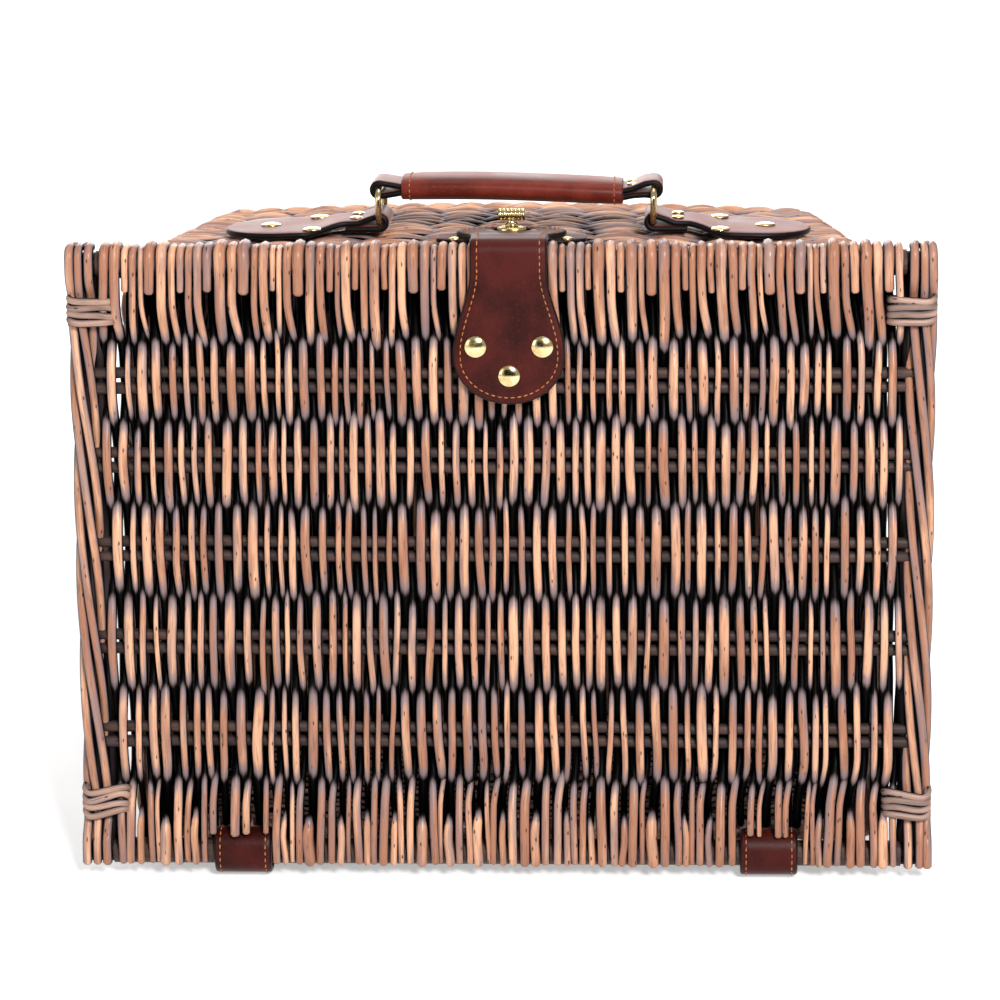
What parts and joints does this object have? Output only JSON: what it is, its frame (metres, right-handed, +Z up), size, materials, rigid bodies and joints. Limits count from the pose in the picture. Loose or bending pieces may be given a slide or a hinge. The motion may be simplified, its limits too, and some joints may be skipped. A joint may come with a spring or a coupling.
{
  "type": "picnic hamper",
  "caption": "Woven willow hamper standing on its hinge side, with a hinged lid, a leather strap on a turning button, and a leather handle on two brass rings.",
  "frame": {"origin": "on the floor under the middle of the part's outline, with the hamper standing on its hinge side", "axes": "+Z up, -Y towards the viewer on the lid's side, +X to the viewer's right along the lid's width"},
  "size_m": [0.4, 0.2136, 0.3198],
  "materials": {
    "wicker": "satin",
    "sticks": "satin",
    "leather": "satin",
    "brass": "polished"
  },
  "bodies": {
    "basket": {"wall_top": "wicker", "wall_bottom": "wicker", "wall_left": "wicker", "wall_right": "wicker", "rim_top": "wicker", "rim_bottom": "wicker", "rim_left": "wicker", "rim_right": "wicker", "base_border": "wicker", "base_panel": "wicker", "corner_post_top_left": "sticks", "corner_post_top_right": "sticks", "corner_post_bottom_left": "sticks", "corner_post_bottom_right": "sticks", "hinge_loop_left": "leather", "hinge_loop_right": "leather", "lock_patch": "leather", "chape_left": "leather", "chape_right": "leather", "lock_patch_rivet_left": "brass", "lock_patch_rivet_right": "brass", "lock_boss": "brass", "chape_rivet_left_1": "brass", "chape_rivet_left_2": "brass", "chape_rivet_left_3": "brass", "chape_rivet_right_1": "brass", "chape_rivet_right_2": "brass", "chape_rivet_right_3": "brass"},
    "lid": {"lid_weave": "wicker", "lid_post_left": "wicker", "lid_binding_top_left": "wicker", "lid_binding_hinge_left": "wicker", "lid_post_right": "wicker", "lid_binding_top_right": "wicker", "lid_binding_hinge_right": "wicker", "lid_stick_top": "sticks", "lid_stick_hinge": "sticks", "lid_cross_sticks_1": "sticks", "lid_cross_sticks_2": "sticks", "lid_cross_sticks_3": "sticks", "lid_cross_sticks_4": "sticks", "lid_cross_sticks_5": "sticks", "strap": "leather", "strap_rivet_1": "brass", "strap_rivet_2": "brass", "strap_rivet_3": "brass"},
    "strap_flap": {"strap_flap": "leather"},
    "turn_button": {"turn_button": "brass"},
    "ring_left": {"ring_left": "brass"},
    "ring_right": {"ring_right": "brass"},
    "handle": {"handle_loop_left": "leather", "handle_loop_right": "leather", "handle_grip": "leather"}
  },
  "joints": [
    {"name": "lid_hinge", "type": "hinge", "parent": "basket", "child": "lid", "pos_m": [0, -0.09642, 0.01192], "axis": [1, 0, 0], "range_deg": [0, 90]},
    {"name": "flap_bend", "type": "hinge", "parent": "lid", "child": "strap_flap", "pos_m": [0.0044, -0.06692, 0.30386], "axis": [1, 0, 0], "range_deg": [0, 95]},
    {"name": "button_turn", "type": "hinge", "parent": "basket", "child": "turn_button", "pos_m": [0.0044, -0.0435, 0.30658], "axis": [0, 0.0873, 0.9962], "range_deg": [0, 90]},
    {"name": "ring_left_swing", "type": "hinge", "parent": "basket", "child": "ring_left", "pos_m": [-0.06, 0.00077, 0.29625], "axis": [0, 0.9962, -0.0873], "range_deg": [-45, 45]},
    {"name": "ring_right_swing", "type": "hinge", "parent": "basket", "child": "ring_right", "pos_m": [0.07, 0.00077, 0.29625], "axis": [0, 0.9962, -0.0873], "range_deg": [-45, 45]},
    {"name": "handle_swing", "type": "hinge", "parent": "ring_left", "child": "handle", "pos_m": [-0.06, 0.00212, 0.31169], "axis": [0, 0.9962, -0.0873], "range_deg": [-45, 45]}
  ],
  "couplings": [
    {"joint": "ring_right_swing", "follows": "ring_left_swing", "ratio": 1},
    {"joint": "handle_swing", "follows": "ring_left_swing", "ratio": -1}
  ]
}
